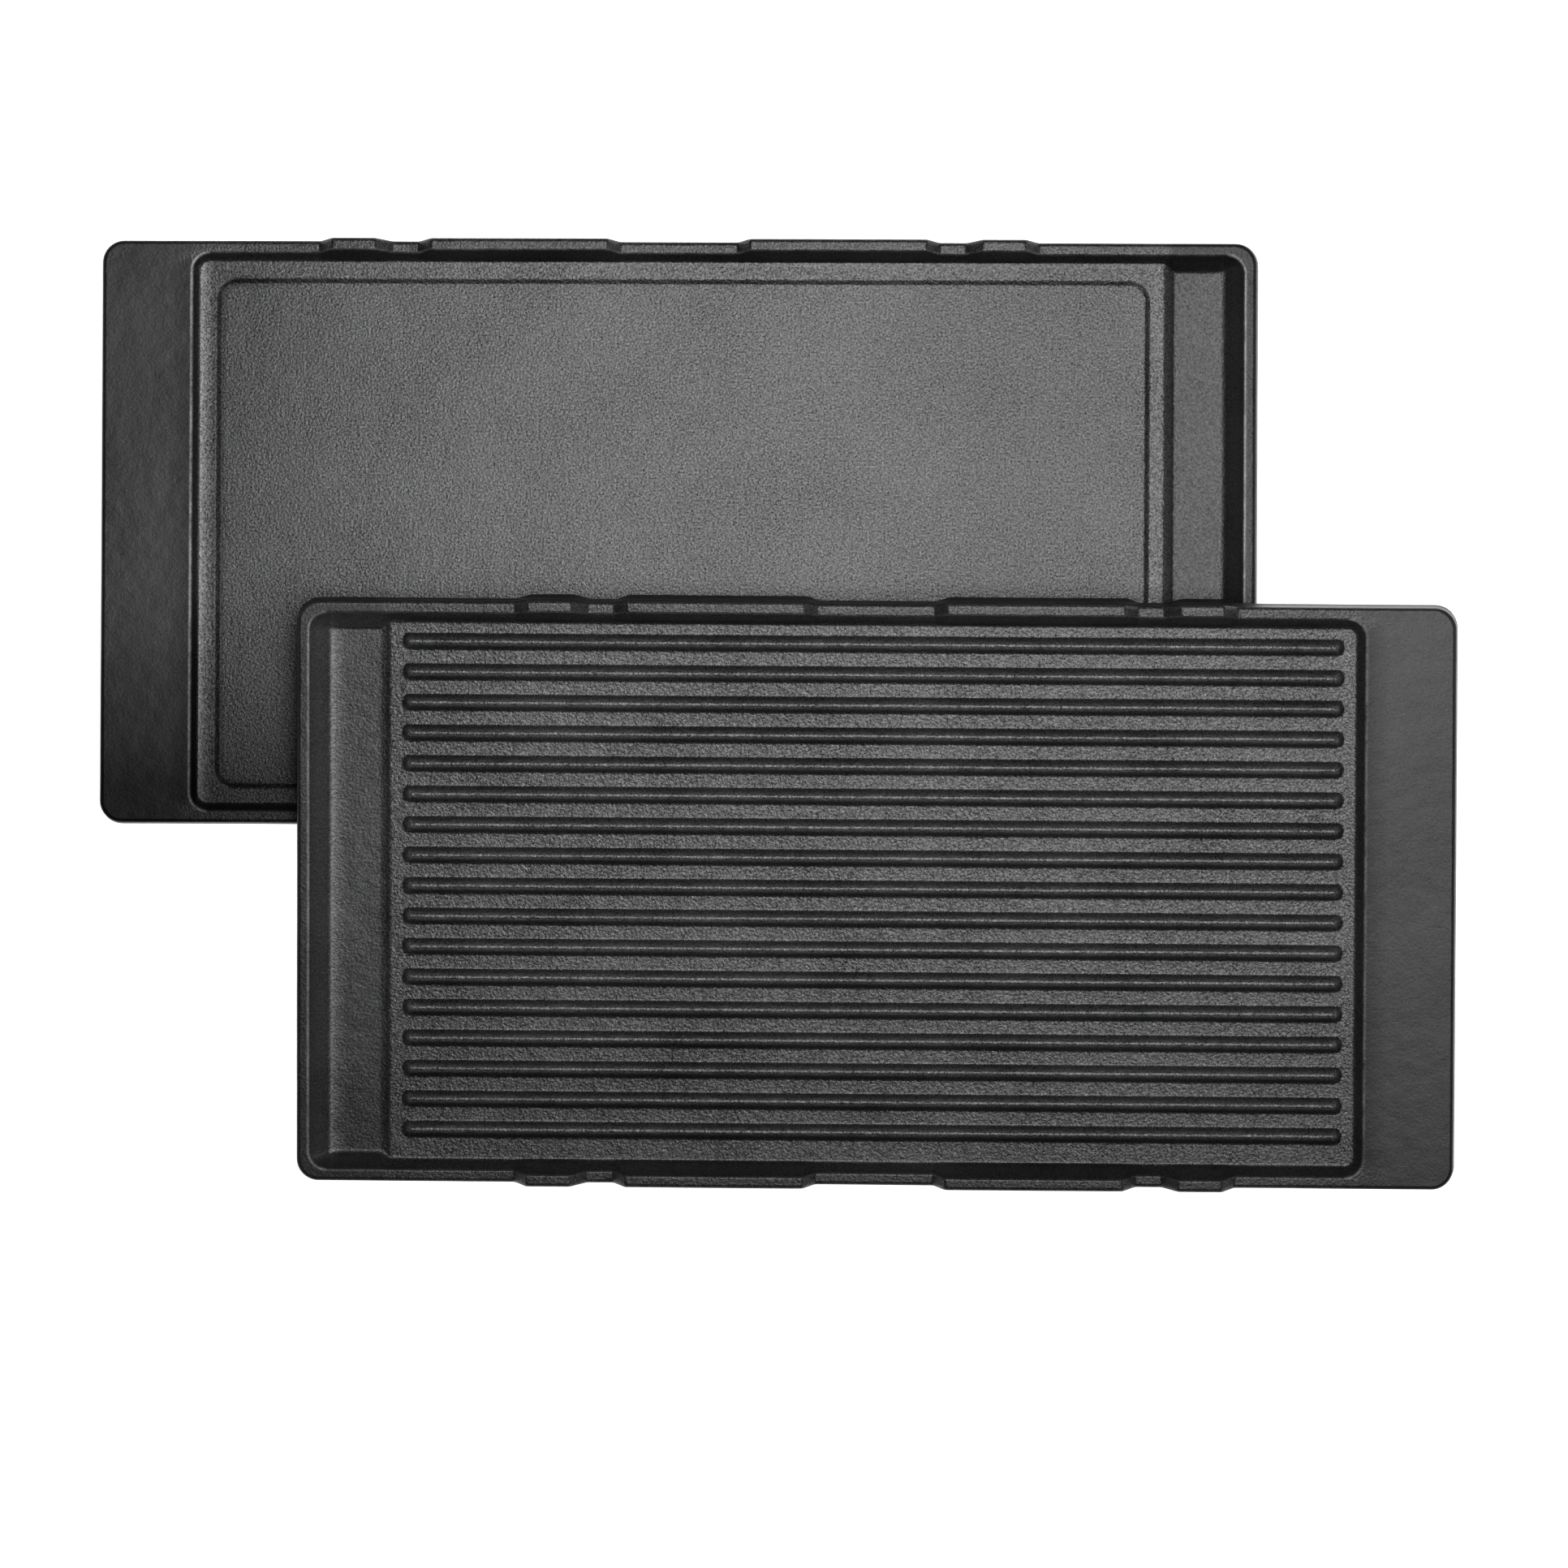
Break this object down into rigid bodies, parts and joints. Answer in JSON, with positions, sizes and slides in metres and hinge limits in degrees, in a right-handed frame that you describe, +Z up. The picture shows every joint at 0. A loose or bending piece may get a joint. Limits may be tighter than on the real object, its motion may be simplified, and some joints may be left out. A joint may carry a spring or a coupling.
{
  "type": "griddle plate set",
  "caption": "Pair of black cast-iron reversible griddle plates, one flat face up and one ribbed face up, with grease troughs and locating lugs.",
  "frame": {"origin": "on the ground plane, under the middle of the whole set's box", "axes": "+X along the long side of the plates, towards the leaning plate's grip flange; +Y from the leaning ribbed plate in front to the level plate behind; +Z up"},
  "size_m": [0.5634, 0.3952, 0.0607],
  "materials": {
    "cast_iron": "matte, fine sand-cast grain, lightly seasoned"
  },
  "bodies": {
    "level_plate": {"flat_side_plate": "cast_iron"},
    "leaning_plate": {"ribbed_side_plate": "cast_iron"}
  },
  "joints": [
    {"name": "plate_lift", "type": "slide", "parent": "level_plate", "child": "leaning_plate", "axis": [0, 0, 1], "range_m": [0, 0.1]}
  ]
}
